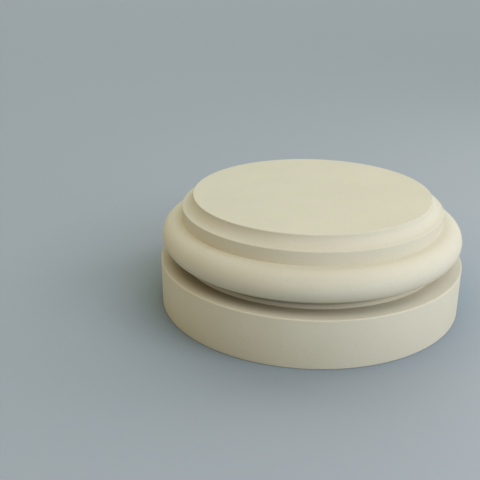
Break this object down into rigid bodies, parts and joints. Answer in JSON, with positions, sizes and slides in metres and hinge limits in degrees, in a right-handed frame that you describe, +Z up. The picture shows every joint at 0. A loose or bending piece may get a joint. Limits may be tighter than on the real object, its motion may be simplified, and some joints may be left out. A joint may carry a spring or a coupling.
{
  "type": "column base",
  "caption": "Round Tuscan column base in cast stone: a plain round plinth, a torus between two fillets, and a cove up to a flat seat for the shaft.",
  "frame": {"origin": "middle of the flat underside", "axes": "+Z up along the column's axis; the part is round, so X and Y are free"},
  "size_m": [0.4, 0.4, 0.148],
  "materials": {
    "cast_stone": "smooth cast stone, ivory, matt"
  },
  "bodies": {
    "root": {"column_base": "cast_stone"}
  },
  "joints": []
}
